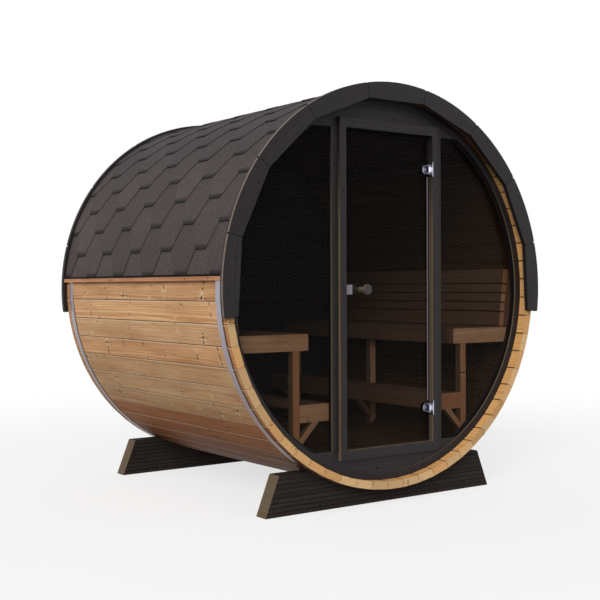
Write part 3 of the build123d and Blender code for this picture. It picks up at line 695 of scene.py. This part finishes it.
def write_roof_layers(obj, lows):
    """Tone of each tab, distance above its lower edge, and the cut edges, from where each face lies."""
    mesh = obj.data
    tone = np.zeros(len(mesh.loops), np.float32)
    rim = np.zeros(len(mesh.loops), np.float32)
    band = np.ones(len(mesh.vertices), np.float32)
    shade = {}
    for index, (start, stop, bottom, centre) in enumerate(lows):
        for face in mesh.polygons[start:stop]:
            out = Vector((face.center.x, 0, face.center.z - AXIS)).normalized()
            key = (index, round((face.center.y - centre) / PITCH))
            shade.setdefault(key, tones.random())
            for loop in face.loop_indices:
                tone[loop] = shade[key]
                rim[loop] = abs(face.normal.dot(out)) < 0.6
                vertex = mesh.vertices[mesh.loops[loop].vertex_index]
                angle = math.atan2(abs(vertex.co.x), vertex.co.z - AXIS)
                band[vertex.index] = (bottom - angle) * BED
    for name, domain, data in (("tone", "CORNER", tone), ("rim", "CORNER", rim), ("band", "POINT", band)):
        mesh.attributes.new(name, "FLOAT", domain).data.foreach_set("value", data)


def add_sheet(bm, rows, faces, bottom, centre):
    """Adds a sheet and notes its faces, lower edge and centre for write_roof_layers."""
    start = len(bm.faces)
    sheet(bm, faces)
    rows.append((start, len(bm.faces), bottom, centre))


roof, rows = bmesh.new(), []
for side in (-1, 1):
    for course in range(COURSES):
        bottom = LOWEST - course * EXPOSURE
        centre = TAB_CENTRES[course % 2]
        add_sheet(roof, rows, course_faces(side, bottom, centre), min(bottom, EAVE), centre)
courses = new_piece("shingle_courses", roof, shingle_grit)
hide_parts("shingle_roof")
write_roof_layers(courses, rows)

# Starter strips at the eaves
STARTER_ROWS, STARTER_STEP = 4, math.radians(1.8)
STARTER_HEIGHT, STARTER_FALL = 0.0066, 0.0008  # at the eave, and less with each row
starter, rows = bmesh.new(), []
for side in (-1, 1):
    faces = []
    for step in range(STARTER_ROWS):
        ring = []
        for k in (step, step + 1):
            angle = EAVE - STARTER_STEP * k
            height = STARTER_HEIGHT - STARTER_FALL * k
            ring.append((on_roof(side, angle, -END, height), on_roof(side, angle, END, height)))
        faces.append([ring[0][0], ring[0][1], ring[1][1], ring[1][0]])
    add_sheet(starter, rows, faces, EAVE + FAR, 0.0)
starter_strips = new_piece("eave_starter_strips", starter, shingle_grit)
write_roof_layers(starter_strips, rows)

# Dark drip edge between each batten and the starter strip: a level leaf and a hanging one. Its black is also a
# painted shadow line under the shingles' edge
DRIP_LEAVES = ((1.0326, 1.1674, 0.0172, 0.0054), (1.0412, 1.1653, 0.0012, 0.0096))
drips_and_eave_shadow = bmesh.new()
for side in (-1, 1):
    for across, height, width, depth in DRIP_LEAVES:
        middle = Matrix.Translation((side * across, 0, height)) @ Matrix.Diagonal((width, 2 * END, depth, 1))
        bmesh.ops.create_cube(drips_and_eave_shadow, size=1.0, matrix=middle)
new_piece("drip_edges_and_eave_shadow", drips_and_eave_shadow, drip_paint)

# Caps along the ridge, each lapped over the one in front of it, on a strip that lets no light pass below them
CAP_COUNT = 8
CAP_STEP = 2 * END / CAP_COUNT
CAP_LENGTH = CAP_STEP * 1.35
CAP_TURN, STRIP_TURN = math.radians(4.2) / 3, math.radians(1.2)  # angle of one of the three faces on each side
CAP_HEIGHT, CAP_TILT, STRIP_HEIGHT = 0.0098 + SHEET, 0.0034, 0.0096
caps, rows = bmesh.new(), []


def ridge_faces(turn, front, back, height):
    """Six faces over the ridge between two places along it."""
    faces = []
    for k in range(-3, 3):
        corners = ((k, front), (k + 1, front), (k + 1, back), (k, back))
        faces.append([on_roof(1, turn * step, y, height(y)) for step, y in corners])
    return faces


for cap in range(CAP_COUNT):
    front = -END + cap * CAP_STEP
    faces = ridge_faces(CAP_TURN, front, min(END, front + CAP_LENGTH),
                        lambda y: CAP_HEIGHT + CAP_TILT * (1 - (y - front) / CAP_LENGTH))
    add_sheet(caps, rows, faces, FAR, 3 * cap * PITCH)
add_sheet(caps, rows, ridge_faces(STRIP_TURN, -END, END, lambda y: STRIP_HEIGHT), FAR, 0.0)
ridge_caps = new_piece("ridge_caps", caps, shingle_grit)
write_roof_layers(ridge_caps, rows)

# Timber nodes, with their bevels; their order gives each its seed
seed = 140
for material, bevel, names in (
    (stave_wood, 0, ("bottom_staves", "left_staves", "right_staves", "top_staves")),
    (batten_wood, 0.0015, ("eave_battens",)),
    (fascia_wood, 0.004, ("front_fascia",)),
    (rear_wood, 0.004, ("rear_fascia",)),
    (dark_wood, 0.0012, ("front_trim_ring",)),
    (dark_wood, 0.001, ("window_rims",)),
    (dark_wood, 0.0015, ("wall_posts", "left_jamb", "right_jamb", "door_head", "door_sill")),
    (dark_wood, 0.0012, ("front_lower_panel", "front_upper_panel")),
    (floor_wood, 0.002, ("floor_boards", "floor_bearers")),
    (bench_wood, 0.002, ("left_bench_bearers", "right_bench_bearers", "left_bench_legs", "right_bench_legs",
                         "left_bench_rails", "right_bench_rails")),
    (bench_wood, 0.003, ("left_bench_slats", "right_bench_slats")),
    (bench_wood, 0.0015, ("left_step_braces", "right_step_braces")),
    (bench_wood, 0.003, ("left_backrest_slats", "right_backrest_slats")),
    (bench_wood, 0.002, ("left_backrest_posts", "right_backrest_posts")),
    (knob_wood, 0.0008, ("door_knobs",)),
):
    for name in names:
        mark_boards(dress(name, material, bevel), seed)
        seed += 1

CRADLE_BOARDS, WALL_BOARDS = 9, 17
for seed, name in enumerate(("front_cradle", "rear_cradle"), 200):
    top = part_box(name)[1].z
    levels = [k * top / CRADLE_BOARDS for k in range(CRADLE_BOARDS + 1)]
    slabs(name, levels, groove=0.0012, joint=0.0004, material=cradle_wood, seed=seed)
wall_low, wall_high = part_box("rear_wall")
levels = [wall_low.z + k * (wall_high.z - wall_low.z) / WALL_BOARDS for k in range(WALL_BOARDS + 1)]
slabs("rear_wall", levels, groove=0.003, joint=-0.0004, material=dark_wood, seed=210)

for name, material, bevel in (
    ("front_strap", strap_steel, 0), ("rear_strap", strap_steel, 0),
    ("left_window", glass, 0), ("right_window", glass, 0), ("door_glass", glass, 0),
    ("hinge_leaves", leaf_steel, 0.0006), ("hinge_clamps", hinge_chrome, 0.0005),
    ("latch_plates", latch_plastic, 0.0008),
):
    dress(name, material, bevel)

# Screw heads: low discs with a round recess
SCREW_SIDES = 18
SCREW_RINGS = ((1.0, -0.0006), (1.0, 0.0002), (0.82, 0.0006), (0.45, 0.0005), (0.40, -0.0004))  # radius share, height
RING_SCREWS, RING_RADIUS, RING_START = 18, 0.960, 6  # on the trim ring, the first so many degrees past its top


def screw(bm, point, out, radius):
    place = Matrix.Translation(point) @ Vector(out).to_track_quat("Z", "Y").to_matrix().to_4x4()
    turns = [k * math.tau / SCREW_SIDES for k in range(SCREW_SIDES)]
    loops = []
    for share, height in SCREW_RINGS:
        reach = share * radius
        loops.append([bm.verts.new(place @ Vector((reach * math.cos(turn), reach * math.sin(turn), height)))
                      for turn in turns])
    for low, high in zip(loops, loops[1:]):
        for k in range(SCREW_SIDES):
            after = (k + 1) % SCREW_SIDES
            bm.faces.new((low[k], low[after], high[after], high[k]))
    bm.faces.new(loops[-1])
    bm.faces.new(loops[0][::-1])


screws = bmesh.new()
for k in range(RING_SCREWS):
    angle = math.radians(360 / RING_SCREWS * k + RING_START)
    place = (RING_RADIUS * math.sin(angle), -WALL, AXIS + RING_RADIUS * math.cos(angle))
    screw(screws, place, (0, -1, 0), radius=0.0045)
for y, places in (
    (-FRAME, ((-0.309, 1.582), (-0.309, 0.335), (0.311, 1.62), (0.311, 0.36), (-0.186, 1.93), (0.19, 1.916))),
    (-WALL, ((-0.349, 1.716), (-0.349, 1.38), (-0.351, 0.678), (0.349, 1.548), (0.349, 1.105), (0.349, 0.52))),
    (-PANEL, ((-0.266, 2.0), (0.04, 1.972), (0.162, 2.0), (-0.077, 0.182), (0.24, 0.2))),
    (-CRADLE, ((-0.697, 0.07), (0.435, 0.084), (0.355, 0.019), (0.565, 0.035), (-0.42, 0.03))),
    (CRADLE, ((-0.69, 0.06), (-0.435, 0.084), (0.355, 0.03), (0.6, 0.06))),
):
    for x, z in places:
        screw(screws, (x, y, z), (0, math.copysign(1, y), 0), radius=0.0055)
new_piece("screw_heads", screws, drip_paint)

# Pale seal along the hinged edge of the glass, between the clamps; its paleness is also a painted highlight for the
# glass's lit edge
SEAL_LOW, SEAL_HIGH = 0.504, 1.688
SEAL_X, SEAL_Y = 0.2805, -0.8127
SEAL_WIDTH, SEAL_DEPTH = 0.005, 0.0014
seal_and_edge_highlight = bmesh.new()
middle = Matrix.Translation((SEAL_X, SEAL_Y, (SEAL_LOW + SEAL_HIGH) / 2))
extent = Matrix.Diagonal((SEAL_WIDTH, SEAL_DEPTH, SEAL_HIGH - SEAL_LOW, 1))
bmesh.ops.create_cube(seal_and_edge_highlight, size=1.0, matrix=middle @ extent)
new_piece("door_edge_seal_and_highlight", seal_and_edge_highlight, latch_plastic, "door")


# Stage: floor, light and camera
SKY_LIGHT, SKY_STRENGTH = (0.93, 0.96, 1.0, 1.0), 0.5
WHITE = (1.0, 1.0, 1.0, 1.0)
FLOOR_BOUNCE = (0.16, 0.15, 0.14, 1.0)  # floor as the light meets it
FLOOR_SHOWN = (0.97, 0.97, 0.97, 1.0)  # floor as the camera shows it
FLOOR_GLOW = ((1, 2.0), (2, 6.0), (3, 0.7), (4, 1.0))  # near and far distance, and the share of white at each
KEY_ENERGY, KEY_ANGLE, KEY_COLOUR = 2.1, math.radians(32), (1.0, 0.965, 0.92)
KEY_AIM = Vector((0.62, 0.56, -0.42))


def rays(tree):
    """One where a ray comes from the camera, a mirror or a pane, and zero where it carries light."""
    path = tree.nodes.new("ShaderNodeLightPath")
    last = path.outputs["Is Camera Ray"]
    for name in ("Is Glossy Ray", "Is Transmission Ray"):
        join = tree.nodes.new("ShaderNodeMath")
        join.operation = "MAXIMUM"
        tree.links.new(last, join.inputs[0])
        tree.links.new(path.outputs[name], join.inputs[1])
        last = join.outputs[0]
    return last


def add_nodes(tree, *kinds):
    return [tree.nodes.new("ShaderNode" + kind) for kind in kinds]


world = bpy.data.worlds.new("studio")
scene.world = world
world.use_nodes = True
tree = world.node_tree
tree.nodes.clear()
soft, white, blend, out = add_nodes(tree, "Background", "Background", "MixShader", "OutputWorld")
soft.inputs["Color"].default_value = SKY_LIGHT
soft.inputs["Strength"].default_value = SKY_STRENGTH
white.inputs["Color"].default_value = WHITE
tree.links.new(rays(tree), blend.inputs[0])
tree.links.new(soft.outputs[0], blend.inputs[1])
tree.links.new(white.outputs[0], blend.inputs[2])
tree.links.new(blend.outputs[0], out.inputs["Surface"])

floor_grid = bmesh.new()
bmesh.ops.create_grid(floor_grid, x_segments=2, y_segments=2, size=60.0, matrix=Matrix.Translation((0, 0, -0.001)))
floor_mesh = bpy.data.meshes.new("studio_floor")
floor_grid.to_mesh(floor_mesh)
floor_grid.free()
floor = bpy.data.objects.new("studio_floor", floor_mesh)
scene.collection.objects.link(floor)
paper = bpy.data.materials.new("studio_floor")
paper.use_nodes = True
floor_mesh.materials.append(paper)
tree = paper.node_tree
tree.nodes.clear()
shown = rays(tree)
matte, glow, blend, out = add_nodes(tree, "BsdfDiffuse", "Emission", "MixShader", "OutputMaterial")
tint, near, keep, place, length = add_nodes(tree, "Mix", "MapRange", "Math", "NewGeometry", "VectorMath")
tint.data_type = "RGBA"
tint.inputs[6].default_value = FLOOR_BOUNCE
tint.inputs[7].default_value = FLOOR_SHOWN
tree.links.new(shown, tint.inputs[0])
tree.links.new(tint.outputs[2], matte.inputs["Color"])
length.operation = "LENGTH"
tree.links.new(place.outputs["Position"], length.inputs[0])
near.interpolation_type = "SMOOTHSTEP"
for index, value in FLOOR_GLOW:
    near.inputs[index].default_value = value
tree.links.new(length.outputs["Value"], near.inputs[0])
keep.operation = "MULTIPLY"
tree.links.new(near.outputs[0], keep.inputs[0])
tree.links.new(shown, keep.inputs[1])
tree.links.new(keep.outputs[0], blend.inputs[0])
tree.links.new(matte.outputs[0], blend.inputs[1])
tree.links.new(glow.outputs[0], blend.inputs[2])
tree.links.new(blend.outputs[0], out.inputs["Surface"])

key = bpy.data.lights.new("key", "SUN")
key.energy = KEY_ENERGY
key.angle = KEY_ANGLE
key.color = KEY_COLOUR
key_object = bpy.data.objects.new("key", key)
key_object.rotation_euler = KEY_AIM.to_track_quat("-Z", "Y").to_euler()
scene.collection.objects.link(key_object)

# The photograph's camera
YAW, TILT, ROLL = math.radians(35.81), math.radians(-0.719), math.radians(-0.242)
CAMERA_PLACE = (-3.593, -5.026, 1.1105)
forward = Vector((math.sin(YAW) * math.cos(TILT), math.cos(YAW) * math.cos(TILT), math.sin(TILT)))
right = Vector((math.cos(YAW), -math.sin(YAW), 0))
up = right.cross(forward)
rolled_right = math.cos(ROLL) * right + math.sin(ROLL) * up
rolled_up = math.cos(ROLL) * up - math.sin(ROLL) * right
camera_data = bpy.data.cameras.new("camera")
camera_data.lens = 64.27
camera_data.sensor_width = 36.0
camera_data.clip_end = 200.0
camera = bpy.data.objects.new("camera", camera_data)
scene.collection.objects.link(camera)
turn = Matrix((rolled_right, rolled_up, -forward)).transposed()
camera.matrix_world = Matrix.Translation(CAMERA_PLACE) @ turn.to_4x4()
scene.camera = camera
scene.view_settings.view_transform = "Standard"
